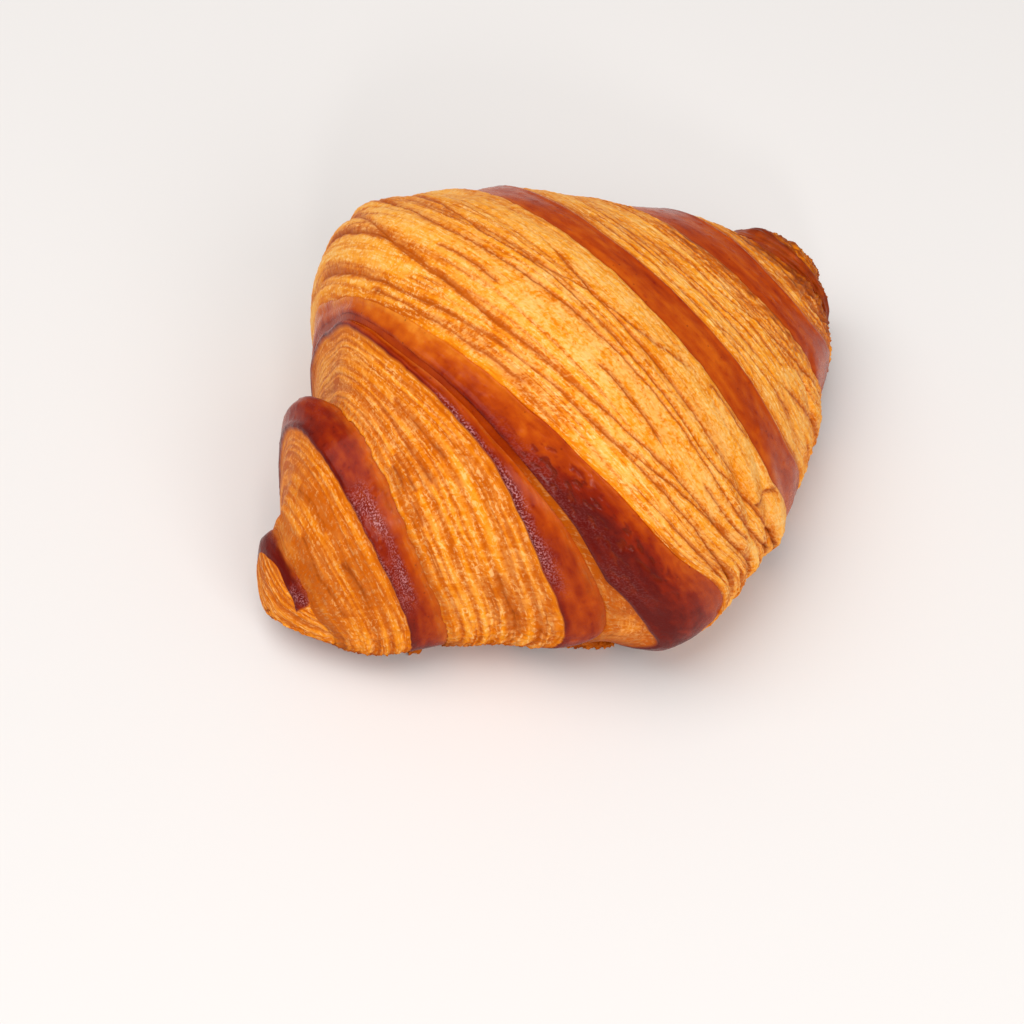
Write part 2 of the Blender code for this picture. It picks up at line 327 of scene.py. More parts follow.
# Open layers of each cut band. Ribs are single layers: width, how long they run on, height. A crevice parts
# two bundles of layers: depth, half width and its route in (angle round the roll, share of the band's width).
# Stray ones lie on the far side. A foot is the flaky brown border beside the next skin: width, how brown.
cutBands = {
    0: {"ribs": ((1.5, 40.0, 0.2), (0.6, 14.0, 0.09)), "wave": 0.12, "pebble": 0.06, "swell": 0.1, "pillow": 0.3,
        "tone": -0.08, "pale": 0.12, "bake": 0.34, "stray": 0, "crevices": ()},
    2: {"ribs": ((1.25, 80.0, 0.19), (0.55, 24.0, 0.08)), "wave": 0.14, "pebble": 0.03, "swell": 0.3, "pillow": 0.55,
        "tone": -0.16, "pale": 0.14, "bake": 0.4, "stray": 6,
        "crevices": (
            (0.3, 0.16, ((5, 0.3), (25, 0.27), (50, 0.22), (70, 0.25), (95, 0.3))),
            (0.22, 0.16, ((15, 0.62), (35, 0.6), (52, 0.55))),
            (0.25, 0.16, ((60, 0.55), (80, 0.6), (110, 0.5))))},
    4: {"ribs": ((1.4, 80.0, 0.2), (0.6, 24.0, 0.08)), "wave": 0.15, "pebble": 0.03, "swell": 0.3, "pillow": 0.6,
        "tone": -0.12, "pale": 0.26, "bake": 0.24, "stray": 7,
        "crevices": (
            (0.45, 0.18, ((36, 0.16), (55, 0.13), (72, 0.15))),
            (0.65, 0.2, ((50, 0.24), (62, 0.23), (73, 0.25))),
            (0.5, 0.17, ((46, 0.45), (64, 0.41), (78, 0.43), (96, 0.46))),
            (0.5, 0.18, ((-8, 0.6), (8, 0.62), (24, 0.6))),
            (0.4, 0.16, ((52, 0.66), (70, 0.63), (92, 0.66))))},
    6: {"ribs": ((1.1, 22.0, 0.1), (0.5, 6.0, 0.06)), "wave": 0.1, "pebble": 0.06, "swell": 0.1, "pillow": 0.2,
        "tone": -0.15, "pale": 0.3, "bake": 0.36, "stray": 0, "crevices": ()},
    8: {"ribs": ((2.8, 60.0, 0.15), (0.8, 18.0, 0.05)), "wave": 0.22, "pebble": 0.11, "swell": 0.8, "pillow": 0.6,
        "tone": -0.02, "pale": 0.6, "bake": 0.0, "stray": 8, "foot": (2.6, 0.45),
        "crevices": (
            (0.8, 0.22, ((-45, 0.1), (-12, 0.08), (4, 0.12), (22, 0.23), (34, 0.2), (50, 0.155), (68, 0.143),
                         (86, 0.107), (104, 0.083), (133, 0.09), (150, 0.1), (180, 0.13))),
            (0.8, 0.22, ((14, 0.37), (22, 0.35), (31, 0.3), (41, 0.22), (52, 0.15))),
            (0.9, 0.24, ((-50, 0.4), (-15, 0.45), (-4, 0.42), (4, 0.36), (15, 0.35), (27, 0.357), (39, 0.31),
                         (50, 0.25), (64, 0.214), (77, 0.202), (91, 0.214), (104, 0.238), (113, 0.274),
                         (140, 0.29), (165, 0.3), (190, 0.27))),
            (0.6, 0.2, ((60, 0.165), (80, 0.2), (96, 0.215), (112, 0.24), (128, 0.34), (142, 0.42), (160, 0.45),
                        (185, 0.43))),
            (1.0, 0.24, ((-55, 0.7), (-22, 0.78), (-9, 0.75), (-2, 0.64), (6, 0.56), (18, 0.543), (40, 0.56),
                         (64, 0.56), (77, 0.536), (95, 0.5), (113, 0.476), (126, 0.51), (142, 0.56), (162, 0.6),
                         (195, 0.6))),
            (0.9, 0.24, ((-50, 0.85), (-22, 0.88), (-9, 0.84), (-2, 0.76), (7, 0.69), (16, 0.71), (27, 0.64),
                         (36, 0.585), (46, 0.6), (64, 0.607), (77, 0.63), (86, 0.62), (100, 0.583), (113, 0.63),
                         (126, 0.66), (145, 0.74), (180, 0.8))),
            (0.8, 0.22, ((17, 0.735), (27, 0.69), (36, 0.69), (51, 0.71), (68, 0.714), (77, 0.726), (86, 0.774),
                         (93, 0.82), (101, 0.85))),
            (0.8, 0.22, ((50, 0.97), (54, 0.91), (60, 0.83), (68, 0.757), (77, 0.726), (82, 0.68), (90, 0.62),
                         (98, 0.583))),
            (1.2, 0.3, ((19, 0.7), (17, 0.76), (17.5, 0.85), (16, 0.94), (14, 1.02))),
            (0.5, 0.2, ((30, 0.97), (40, 0.955), (52, 0.96))),
            (0.5, 0.18, ((2, 0.05), (18, 0.12), (30, 0.1), (44, 0.075))),
            (0.5, 0.17, ((40, 0.38), (56, 0.42), (66, 0.4))),
            (0.5, 0.17, ((56, 0.08), (76, 0.05), (100, 0.04), (124, 0.05))),
            (0.4, 0.16, ((8, 0.47), (22, 0.45), (34, 0.47))),
            (0.8, 0.24, ((-55, 0.25), (-18, 0.27), (2, 0.24), (10, 0.26))),
            (0.8, 0.24, ((-52, 0.56), (-20, 0.6), (-4, 0.55), (4, 0.47))),
            (0.4, 0.16, ((84, 0.36), (96, 0.38), (108, 0.36))))},
    10: {"ribs": ((1.7, 60.0, 0.24), (0.7, 20.0, 0.1)), "wave": 0.2, "pebble": 0.13, "swell": 0.7, "pillow": 0.6,
        "tone": 0.0, "pale": 0.46, "bake": 0.02, "stray": 6, "foot": (5.0, 0.8),
        "crevices": (
            (0.9, 0.26, ((-50, 0.55), (-18, 0.62), (-6, 0.6), (9, 0.55), (18, 0.53), (27, 0.47), (36, 0.37),
                         (45, 0.29))),
            (0.8, 0.24, ((-50, 0.3), (-15, 0.33), (6, 0.28), (14, 0.3))),
            (0.8, 0.24, ((-50, 0.8), (-15, 0.86), (8, 0.92), (20, 0.87), (36, 0.78), (44, 0.72), (51, 0.68),
                         (58, 0.63), (67, 0.55), (78, 0.58), (91, 0.6), (112, 0.63))),
            (0.5, 0.18, ((33, 0.52), (50, 0.53), (67, 0.52))),
            (0.6, 0.2, ((42, 0.46), (51, 0.43), (64, 0.4), (78, 0.37), (87, 0.43), (100, 0.44))),
            (0.6, 0.2, ((19, 0.26), (36, 0.25), (45, 0.22), (56, 0.17), (69, 0.13))),
            (0.5, 0.17, ((74, 0.22), (90, 0.26), (112, 0.24))),
            (0.6, 0.18, ((22, 0.66), (45, 0.62), (64, 0.64), (84, 0.7), (106, 0.74), (130, 0.75))),
            (0.6, 0.18, ((36, 0.34), (58, 0.31), (80, 0.31), (102, 0.34), (126, 0.36))),
            (0.5, 0.17, ((30, 0.86), (50, 0.82), (70, 0.8), (92, 0.84), (112, 0.86))),
            (0.5, 0.17, ((40, 0.14), (62, 0.09), (86, 0.13), (110, 0.14))))},
    12: {"ribs": ((1.4, 45.0, 0.34), (0.6, 14.0, 0.14)), "wave": 0.25, "pebble": 0.14, "swell": 0.5, "pillow": 0.7,
        "tone": 0.0, "pale": 0.2, "bake": 0.28, "stray": 4, "foot": (5.0, 0.45),
        "crevices": (
            (0.7, 0.2, ((5, 0.5), (30, 0.42), (60, 0.5), (95, 0.45), (120, 0.55))),
            (0.7, 0.2, ((0, 0.75), (35, 0.7), (70, 0.75), (100, 0.7))))},
    14: {"ribs": ((1.5, 40.0, 0.5), (0.6, 12.0, 0.2)), "wave": 0.3, "pebble": 0.1, "swell": 0.2, "pillow": 0.2,
        "tone": 0.0, "pale": 0.0, "bake": 0.78, "stray": 3, "crevices": ()},
}

# Egg-washed skins: how dark each is baked at its left edge, middle and right edge, how it blisters, how thick
# its film is and how far that fades to the right, the height of its lip, and where the film glitters: between
# which shares it sets in, from and to which angle, how much
skins = {
    1: {"bake": (0.95, 0.85, 0.75), "blister": 0.22, "film": 1.0, "fade": 0.15, "lip": 0.07,
        "glitter": ((1.4, 0.9), (34.0, 56.0), 1.0)},
    3: {"bake": (1.0, 0.68, 0.50), "blister": 0.30, "film": 1.0, "fade": 0.30, "lip": 0.28,
        "glitter": ((0.62, 0.35), (22.0, 62.0), 1.0)},
    5: {"bake": (0.90, 0.60, 0.48), "blister": 0.20, "film": 1.0, "fade": 0.25, "lip": 0.28,
        "glitter": ((0.5, 0.15), (22.0, 68.0), 0.9)},
    7: {"bake": (0.95, 0.58, 0.40), "blister": 0.20, "film": 1.0, "fade": 0.0, "lip": 0.28,
        "glitter": ((0.45, 0.1), (14.0, 56.0), 0.15)},
    9: {"bake": (0.45, 0.46, 0.52), "blister": 0.12, "film": 1.0, "fade": 0.0, "lip": 0.196,
        "glitter": ((0.4, 0.8), (0.0, 60.0), 0.0)},
    11: {"bake": (0.52, 0.50, 0.58), "blister": 0.16, "film": 1.0, "fade": 0.0, "lip": 0.196,
         "glitter": ((0.3, 0.7), (0.0, 60.0), 0.0)},
    13: {"bake": (0.76, 0.84, 0.92), "blister": 0.25, "film": 0.75, "fade": 0.0, "lip": 0.196,
         "glitter": ((0.2, 0.6), (30.0, 90.0), 0.0)},
}


def strayRoutes(index, count):
    # crevices on the far side and underside, which carry on the same layering
    rng = np.random.default_rng(500 + index)
    found = []
    for number in range(count):
        start = 135.0 + 130.0 * (number + rng.uniform(0.0, 0.8)) / count
        size = rng.uniform(70.0, 130.0)
        share = 0.12 + 0.78 * ((number * 0.618 + rng.uniform(0.0, 0.2)) % 1.0)
        lean = rng.uniform(-0.1, 0.1)
        route = [(start + size * p, share + lean * p + rng.uniform(-0.02, 0.02)) for p in (0.0, 0.33, 0.67, 1.0)]
        found.append((rng.uniform(0.5, 1.0), rng.uniform(0.22, 0.34), route))
    return tuple(found)


def layerRelief(index, place):
    # fine relief of an open layered side, where its bundles part, and how far the next parting is
    band = cutBands[index]
    across, share, angle, girth = place["across"], place["share"], place["angle"], place["girth"]
    drift = 0.9 * streaks(place, 7.0, 60.0, 20 + index) + 0.25 * streaks(place, 2.4, 18.0, 21 + index)
    bent = dict(place, across=across + drift)
    height = band["wave"] * (streaks(place, 4.0, 38.0, 31 + index) + 0.5 * streaks(bent, 1.8, 45.0, 33 + index))
    calm = 0.0 * across    # where the dough puffed out smooth
    if index == 8:
        calm = 0.85 * np.maximum(between(share, 0.3, 0.38, 0.5, 0.56), softStep(0.70, 0.78, share))
    if index == 10:
        calm = 0.7 * between(share, 0.1, 0.2, 0.55, 0.7)
    calm = calm * softStep(135.0, 105.0, angle)
    fine = np.full(across.shape, farOff)
    for (size, long, amount), seed, faint in zip(band["ribs"], (41, 47), (0.42, 1.5)):
        phase = bent["across"] / size + 0.9 * streaks(place, 2.6 * size, long, seed + index)
        strength = 0.7 + 0.9 * streaks(bent, 2.2 * size, 0.9 * long, seed + 1 + index)
        strength = np.clip(strength, 0.05, 1.3) * (1.0 - calm)
        height += amount * strength * (np.abs(np.sin(math.pi * phase))**0.75 - 0.62)
        valley = size * np.abs(phase - np.rint(phase))
        fine = np.minimum(fine, valley + 0.09 + faint * np.clip(1.15 - strength, 0.0, 1.0))
    if index in (2, 4):    # high up these layers lie close and show no dark lines
        fine = fine + 0.13 * softStep(48.0, 80.0, angle)
    height += band["pebble"] * (streaks(place, 0.9, 1.6, 61 + index) + 0.7 * streaks(place, 0.5, 1.3, 67 + index))
    height -= 0.10 * blisters(place, 2.6, 0.45, 0.25, 71 + index, 1.6)
    # towards the table and over the back the bundles of layers part into pillows
    low = between(angle, -80.0, -45.0, -4.0, 22.0)
    high = between(angle, 118.0, 150.0, 205.0, 245.0)
    size = max(2.2, 1.5 * band["ribs"][0][0])
    height += 0.7 * band["pillow"] * low * (np.abs(np.sin(math.pi * bent["across"] / size))**0.6 - 0.7)
    x = share * place["meanWidth"] + 0.25 * streaks(place, 3.0, 6.0, 81) + 0.10 * streaks(place, 1.0, 2.4, 82)
    y = angle / 360.0 * girth + 0.3 * streaks(place, 3.0, 5.0, 83)
    gape = 0.32 + 1.1 * low + 0.35 * high
    gap = np.full(across.shape, farOff)
    creaseShade = 0.0 * across
    for depth, half, route in band["crevices"] + strayRoutes(index, band["stray"]):
        route = [(part * place["meanWidth"], turned / 360.0 * girth) for turned, part in route]
        far, side, done = routeDistance(x, y, route)
        ends = between(done, 0.0, 0.16, 0.84, 1.0)
        uneven = np.clip(0.75 + 0.6 * streaks(place, 6.0, 7.0, 91), 0.0, 1.0)
        shallow = 0.10 * (1.0 - uneven) + 0.08 * (1.0 - min(1.0, depth))
        gap = np.minimum(gap, far + 5.0 * (1.0 - ends) + shallow)
        ends = ends * uneven
        cut = np.exp(-(far / (half * (0.7 + 0.5 * gape)))**1.6) * ends
        lift = np.exp(-far / 1.6) * (side < 0.0) * ends
        height += 0.26 * lift - depth * gape * cut
        # painted shade round each crevice, the darker the deeper it is
        creaseShade = np.maximum(creaseShade, np.exp(-(far / (2.2 * half))**1.5) * ends * (0.10 + 0.22 * depth))
    height += band["swell"] * (0.24 + 0.7 * low + 1.0 * high) * (0.45 - np.exp(-gap / 1.8))
    return height, np.clip(creaseShade, 0.0, 1.0), gap, np.minimum(gap, fine)


def layersOf(index, place, width, angle, groove, kind):
    # everything that an open layered side needs: depth under the roll, relief and masks
    band = cutBands[index]
    share = place["share"]
    height, creaseShade, gap, fine = layerRelief(index, place)
    relief = height * (0.35 + 0.65 * notBelow(angle) + 0.35 * np.exp(-((angle - 5.0) / 22.0)**2))
    depth, smooth = 0.0 * share, 0.0 * share
    bake = band["bake"] + 0.12 * streaks(place, 6.0, 20.0, 109 + index) + 0.05 * streaks(place, 1.4, 9.0, 110 + index)
    if kind.startswith("cut"):
        away = share if "rises" in kind else 1.0 - share
        deep = grooveDepth(groove, angle)
        step = np.minimum(lap["steps"][groove], 0.8 * deep)
        hollow = lap["hollowLeft"] if "rises" in kind else lap["hollowRight"]
        fromEdge = away * width
        curl = 1.0 - np.sqrt(np.clip(1.0 - np.clip(1.0 - fromEdge / lap["round"], 0.0, 1.0)**2, 0.0, 1.0))
        depth = (deep - step) * (1.0 - away)**hollow + step * curl
        relief *= 0.4 + 0.6 * softStep(0.0, 1.2, fromEdge)
        smooth = softStep(1.4, 0.4, (1.0 - away) * width)    # the last layer under a skin is a plain stripe
        relief *= 1.0 - 0.75 * smooth
        creaseShade *= 1.0 - 0.8 * smooth
        shadow = (0.12 if "rises" in kind else 0.5) * softStep(0.45, 0.0, fromEdge)
        creaseShade = np.maximum(creaseShade, shadow * notBelow(angle))
        if "rises" in kind:    # bubbly and browner where it leaves the skin
            foam = softStep(3.2, 0.8, fromEdge + 0.8 * streaks(place, 1.5, 5.0, 115))
            relief += 0.10 * foam * (streaks(place, 0.8, 0.9, 116) - 0.6 * blisters(place, 1.1, 0.4, 0.6, 117))
            bake += 0.22 * foam
    # paler where the relief stands proud: partly the layers' own tone, partly painted light and shade
    ridge = np.clip(0.52 + band["tone"] + 0.9 * height, 0.0, 1.0) * (1.0 - smooth) + 0.36 * smooth
    patch = 0.5 + 0.5 * streaks(place, 5.5, 24.0, 107 + index)
    pale = np.clip(band["pale"] * (0.55 + 0.9 * patch), 0.0, 1.0) * (1.0 - smooth)
    if index == 8:    # the wide pale shoulder and the pillow beside the next skin
        zone = np.maximum(between(share, 0.3, 0.38, 0.5, 0.56), 0.8 * between(share, 0.72, 0.8, 0.95, 1.0))
        pale = pale * (1.0 - 0.45 * softStep(75.0, 105.0, angle)) + 0.30 * zone
    if "foot" in band:
        # the tips of the layers low at the front baked brown
        tips = between(angle, -120.0, -60.0, -6.0, 16.0)
        spread = np.clip(0.7 + 0.9 * streaks(place, 1.5, 3.0, 119), 0.0, 1.0)
        bake += tips * (0.15 + 0.75 * np.exp(-gap / 0.8)) * spread
        relief += tips * (0.28 * streaks(place, 1.3, 1.7, 126) + 0.16 * streaks(place, 0.6, 0.8, 127))
        # flaky brown foot beside the skin below
        reach, browned = band["foot"]
        ragged = 1.2 * streaks(place, 1.2, 3.0, 113) + 1.6 * streaks(place, 4.0, 9.0, 114)
        foot = softStep(reach, 1.2, (1.0 - share) * width + ragged)
        foot *= softStep(10.0, 45.0, angle) * (1.0 - 0.5 * softStep(110.0, 150.0, angle))
        bake += browned * foot * np.clip(0.7 + 0.9 * streaks(place, 0.6, 2.6, 112), 0.0, 1.2)
        pale *= 1.0 - 0.7 * foot
        relief += 0.12 * foot * streaks(place, 0.6, 2.4, 111)
    if index in (0, 2, 4):    # the layers fray where they meet the table
        fray = between(angle, -70.0, -35.0, -4.0, 16.0)
        relief += fray * (0.50 * streaks(place, 0.9, 1.3, 160) + 0.26 * streaks(place, 0.5, 0.7, 161))
    if index == 12:    # browner towards the far tip, with dark lines between its layers
        bake += (0.08 + 0.30 * softStep(0.15, 0.75, share)) * (1.0 + 2.0 * streaks(place, 0.7, 7.0, 121))
        lined = 0.30 * streaks(place, 0.9, 7.0, 120) + 0.22 * streaks(place, 0.6, 1.4, 122)
        relief += softStep(0.1, 0.5, share) * lined
        torn = 0.55 * streaks(place, 1.7, 2.6, 162) + 0.3 * streaks(place, 0.8, 0.9, 163)
        relief += softStep(0.2, 0.5, share) * between(angle, -10.0, 10.0, 55.0, 75.0) * torn
    if index == 14:    # ragged ends of the layers
        torn = 0.50 * streaks(place, 1.2, 2.4, 123) + 0.32 * streaks(place, 0.6, 0.9, 124)
        relief += softStep(1.0, 0.4, share) * torn
        bake += 0.40 * streaks(place, 0.7, 6.0, 125) + 0.30 * streaks(place, 1.3, 1.9, 129)
    # painted shade: browner close beside each parting
    bake += 0.45 * np.exp(-gap / 0.5) * np.clip(0.2 + 1.2 * streaks(place, 2.0, 5.0, 118), 0.0, 1.0)
    # painted shade: deeper orange beside a parting
    shadeBesideParting = np.exp(-gap / 1.1) * np.clip(0.5 + 1.4 * streaks(place, 3.0, 12.0, 128), 0.0, 1.0)
    shadeBesideParting *= 0.35 if index < 6 else 1.0
    return {"depth": depth, "relief": relief, "skin": 0.0 * share, "ridge": ridge - 0.28 * shadeBesideParting, "creaseShade": creaseShade,
            "bake": bake + 0.12 * shadeBesideParting, "pale": pale * (1.0 - 0.6 * shadeBesideParting), "gap": fine / 2.0,
            "glitter": 0.0 * share}


def skinOf(index, place, width, angle, groove, kind):
    # the same for the smooth egg-washed outside of a wrap
    style = skins[index]
    share = place["share"]
    if kind == "skin round":
        crest = np.minimum(share, 1.0 - share)
        depth = 0.35 * (2.0 * share - 1.0)**4
    else:
        crest = share if "falls" in kind else 1.0 - share
        depth = grooveDepth(groove, angle) * crest**1.4
    lip = style["lip"] * np.exp(-((crest * width - 0.45) / 0.4)**2)
    small = blisters(place, 1.3, 0.5, 0.5, 125 + index)
    large = blisters(place, 3.2, 1.1, style["blister"], 131 + index)
    relief = 0.22 * streaks(place, 5.0, 9.0, 121 + index) + 0.04 * streaks(place, 1.6, 2.6, 123 + index)
    relief += 0.08 * small + 0.16 * large + 0.02 * streaks(place, 0.5, 1.3, 137 + index)
    wrinkle = 0.0 * share
    if index == 7:    # where the wrap was stretched, low at the front, the film wrinkled
        low = between(angle, 2.0, 22.0, 46.0, 62.0) * between(share, 0.02, 0.12, 0.55, 0.85)
        wrinkle = softStep(0.16, 0.5, streaks(place, 1.0, 2.6, 139) + 0.35 * streaks(place, 0.6, 1.0, 140)) * low
        relief += 0.22 * low * streaks(place, 3.0, 4.5, 144) - 0.36 * wrinkle
    if index == 13:    # drawn out thin, its layers show through
        relief += 0.40 * streaks(place, 0.9, 14.0, 145) + 0.35 * streaks(place, 2.0, 4.0, 146)
    relief = (relief + lip) * (0.3 + 0.7 * notBelow(angle))
    left, mid, right = style["bake"]
    bake = smoothThrough((0.0, 0.12, 0.5, 1.0), (left, 0.5 * (left + mid), mid, right), share)
    bake += 0.16 * streaks(place, 4.5, 16.0, 141 + index) + 0.10 * streaks(place, 1.3, 2.2, 143 + index)
    # the wrinkle term darkens the dents: painted shade
    bake += 0.12 * small - 0.1 * large + 0.30 * wrinkle
    if index == 7:    # darkest low at the front, golden towards the back
        bake += 0.10 * softStep(58.0, 30.0, angle) + 0.24 * softStep(58.0, 34.0, angle) * softStep(0.95, 0.35, share)
        bake -= 0.3 * softStep(55.0, 95.0, angle)
    (edge, full), (lowest, highest), amount = style["glitter"]
    front = softStep(edge, full, share) * between(angle, lowest - 14.0, lowest + 6.0, highest - 6.0, highest + 14.0)
    glitter = amount * front * np.clip(0.75 + 1.1 * streaks(place, 3.0, 9.0, 155 + index), 0.0, 1.0)
    back = softStep(0.15, 0.6, streaks(place, 6.0, 14.0, 157 + index)) * softStep(100.0, 130.0, angle)
    glitter = np.maximum(glitter, 0.25 * back)
    skin = style["film"] + 0.0 * share
    if index == 1:    # dark and smoky at its top
        bake += 0.35 * softStep(62.0, 90.0, angle) * softStep(1.0, 0.4, share)
        thin = softStep(0.45, 1.0, share + 0.12 * streaks(place, 1.2, 2.0, 146))
        skin = 1.0 - 0.75 * thin * softStep(58.0, 88.0, angle)
    skin = skin - style["fade"] * softStep(0.62, 1.0, share + 0.10 * streaks(place, 1.0, 2.4, 147))
    # painted shade in the wrinkle dents and along the skin's edge at its groove
    creaseShade = 0.4 * wrinkle
    if kind != "skin round":
        shadow = (0.35 if "falls" in kind else 0.7) * softStep(0.8, 0.0, (1.0 - crest) * width)
        creaseShade = np.maximum(creaseShade, shadow)
    return {"depth": depth, "relief": relief, "skin": skin, "ridge": 0.45 + 0.2 * streaks(place, 0.8, 2.4, 149 + index),
            "creaseShade": creaseShade, "bake": bake, "pale": 0.35 * (1.0 - skin), "gap": 1.0 + 0.0 * share, "glitter": glitter}


def stripBlock(index, shares, angles, lines, calmLines, girth, meanWidth):
    # one strip of a wrap as rows by columns: where it lies and what its surface is like
    kind, groove = strips[index]
    share = np.asarray(shares)[:, None] * np.ones_like(angles)[None]
    angle = np.ones_like(share) * angles[None]
    width = (lines[index + 1] - lines[index])[None]
    left, right, reach = calmLines[index], calmLines[index + 1], lap["waveReach"]
    along = (left + share * (right - left)
             + (lines[index] - left) * (1.0 - share) * np.exp(-share * width / reach)
             + (lines[index + 1] - right) * share * np.exp((share - 1.0) * width / reach))
    offset = 17.3 * index    # so that no two strips have the same pattern
    across = share * (width if index in (5, 6, 7) else meanWidth)    # these three taper from the front to the crown
    place = {"share": share, "angle": angle, "turn": (angle + 90.0) / 360.0, "girth": girth, "meanWidth": meanWidth,
             "across": across + offset, "around": np.linspace(0.0, girth, len(angles))[None] + 0.0 * share}
    if index < 2:    # over the blunt left tip the layers run straight, beside its patch of skin
        spot = rollPoint(along, angle, 0.0)
        lean = math.radians(73.0)
        place["across"] = 17.3 - spot[..., 1] * math.cos(lean) + spot[..., 2] * math.sin(lean)
        place["around"] = spot[..., 1] * math.sin(lean) + spot[..., 2] * math.cos(lean) + 0.5 * girth
        place["turn"] = place["around"] / girth
    surface = skinOf if kind.startswith("skin") else layersOf
    block = surface(index, place, width, angle, groove, kind)
    if index == 1:    # the skin of the left tip shows only as a patch, the dough round it is plain
        there = softStep(31.0, 37.0, angle + 3.0 * streaks(place, 1.5, 3.0, 151)) * softStep(175.0, 150.0, angle)
        other = layersOf(0, place, width, angle, None, "end")
        for key in ("relief",) + maskNames:
            block[key] = other[key] * (1.0 - there) + block[key] * there
    if index == 6:    # high on the roll no layers show between the two skins, only a thin dark line
        there = softStep(52.0, 40.0, angle)
        for key, above in (("skin", 1.0), ("bake", 0.6), ("pale", 0.0), ("relief", 0.0)):
            block[key] = block[key] * there + above * (1.0 - there)
    block["depth"] = block["depth"] + lumps(along, angle) + trim(along, angle)
    nearTray = np.maximum(softStep(-4.0, -40.0, angle), softStep(190.0, 235.0, angle))
    block["bake"] = block["bake"] + 0.5 * nearTray * (1.0 + 0.5 * streaks(place, 2.0, 4.0, 153))
    for key in maskNames:
        block[key] = np.clip(block[key], 0.0, 1.0)
    block.update(along=along, angle=angle, across=place["across"], around=place["around"])
    return {key: value + 0.0 * share for key, value in block.items()}


def tuckedRows(block, line, groove, angles, outward, steps):
    # rows that carry a wrap on out of sight: (millimetres past the line, depth under the groove)
    groovePart = grooveDepth(groove, angles) if groove is not None else 0.0
    last = {key: value[-1 if outward > 0 else 0] for key, value in block.items()}
    rows = []
    for past, under in steps:
        at = line + outward * past
        # the hidden rows carry painted shade where the wrap runs under its neighbour
        rows.append(dict(last, along=at, depth=groovePart + lumps(at, angles) + trim(at, angles) + under,
                         relief=np.zeros_like(angles), creaseShade=0.6 + 0.0 * angles,
                         across=last["across"] + outward * max(past, 0.3 * under)))
    if outward < 0:
        rows.reverse()
    return {key: np.stack([row[key] for row in rows]) for key in block}


def evenAngles(along, columns):
    # angles from the middle of the underside once round, at equal distances on the surface
    fine = np.linspace(-90.0, 270.0, 1441)
    points = rollPoint(np.full(fine.shape, along), fine, 0.0)
    far = np.concatenate([[0.0], np.cumsum(np.linalg.norm(np.diff(points, axis=0), axis=1))])
    return np.interp(np.linspace(0.0, far[-1], columns + 1), far, fine), far[-1]


def selectNothing():
    for item in list(bpy.context.selected_objects):
        item.select_set(False)


def stripShares(index, wrap, width, meanWidth):
    # where the rows of points of a strip lie, as shares of its width
    kind = strips[index][0]
    if kind == "end":
        turn = math.pi / 2.0 * np.arange(wrap["endRows"] + 1) / wrap["endRows"]
        return 1.0 - np.cos(turn[1:-1]) if index == 0 else np.sin(turn[:-1])
    rowWidth = wrap["skinRow"] if "skin" in kind else wrap["cutRow"]
    count = max(4, int(math.ceil(0.5 * (meanWidth + float(np.max(width))) / rowWidth)))
    shares = np.arange(count) / count
    if "skin" in kind:
        return shares
    bend = lap["round"] / meanWidth    # closer rows where the edge rolls down
    edge = bend * (1.0 - np.sin(np.radians(np.arange(0.0, 90.0, 15.0))))[::-1]
    if "rises" in kind:
        return np.concatenate([[0.0], edge[:-1], shares[shares > bend]])
    return np.concatenate([shares[shares < 1.0 - bend], 1.0 - edge[::-1]])


def wrapSurface(wrap):
    # points of a wrap as a grid, row by row along it and once round it, with what the material reads there
    angles, girth = evenAngles(wrap["middle"], wrap["columns"])
    lines = edgeLines(angles)
    calmLines = edgeLines(angles, 0.0)
    blocks = []
    for index in wrap["strips"]:
        width = lines[index + 1] - lines[index]
        meanWidth = roll["endWidth"] if strips[index][0] == "end" else float(np.mean(width))
        shares = stripShares(index, wrap, width, float(np.mean(width)))
        blocks.append(stripBlock(index, shares, angles, lines, calmLines, girth, meanWidth))
    for index, outward in ((wrap["strips"][0], -1), (wrap["strips"][-1], 1)):
        kind, groove = strips[index]
        if (kind, outward) not in tucks:
            continue
        if (kind, outward) == ("cut falls", -1):    # it runs on under a plain skin, which has no groove there
            groove = None
        block, line = (blocks[0], lines[index]) if outward < 0 else (blocks[-1], lines[index + 1])
        rows = tuckedRows(block, line, groove, angles, outward, tucks[kind, outward])
        blocks.insert(0 if outward < 0 else len(blocks), rows)
    grid = {key: np.concatenate([block[key] for block in blocks]) for key in blocks[0]}
    points = rollPoint(grid["along"], grid["angle"], grid["depth"])
    alongStep = np.gradient(points, axis=0)
    aroundStep = np.gradient(points, axis=1)
    aroundStep[:, 0] = aroundStep[:, -1] = points[:, 1] - points[:, -2]
    normal = np.cross(aroundStep, alongStep)
    normal /= np.linalg.norm(normal, axis=-1, keepdims=True) + 1e-9
    outward = rollPoint(grid["along"], grid["angle"], grid["depth"] - 1.0) - points
    normal *= np.sign(np.sum(normal * outward, axis=-1, keepdims=True))
    points = points + normal * grid["relief"][..., None]
    # the tray pressed the lowest part flat, with small pits left between the folds
    place = {"across": grid["across"], "turn": (grid["angle"] + 90.0) / 360.0, "girth": girth}
    pits = np.clip(0.35 - grid["relief"] - 0.9 * blisters(place, 2.0, 0.8, 0.5, 7), 0.0, 1.0)
    pits = 0.35 * softStep(0.25, 0.75, pits) + 0.5 * softStep(0.6, 1.0, grid["creaseShade"])
    points[..., 2] = np.maximum(points[..., 2] - roll["restDepth"], pits * softStep(2.5, 0.0, points[..., 2]))
    points[:, -1] = points[:, 0]
    # both ends close in one point
    ends = [np.broadcast_to(row.mean(axis=0), (1,) + row.shape) for row in (points[0], points[-1])]
    points = np.concatenate([ends[0], points, ends[1]])
    points[..., :2] += roll["shift"]
    for key in grid:
        grid[key] = np.concatenate([grid[key][:1], grid[key], grid[key][-1:]])
        if key not in ("angle", "around"):
            grid[key][:, -1] = grid[key][:, 0]
    return points, grid


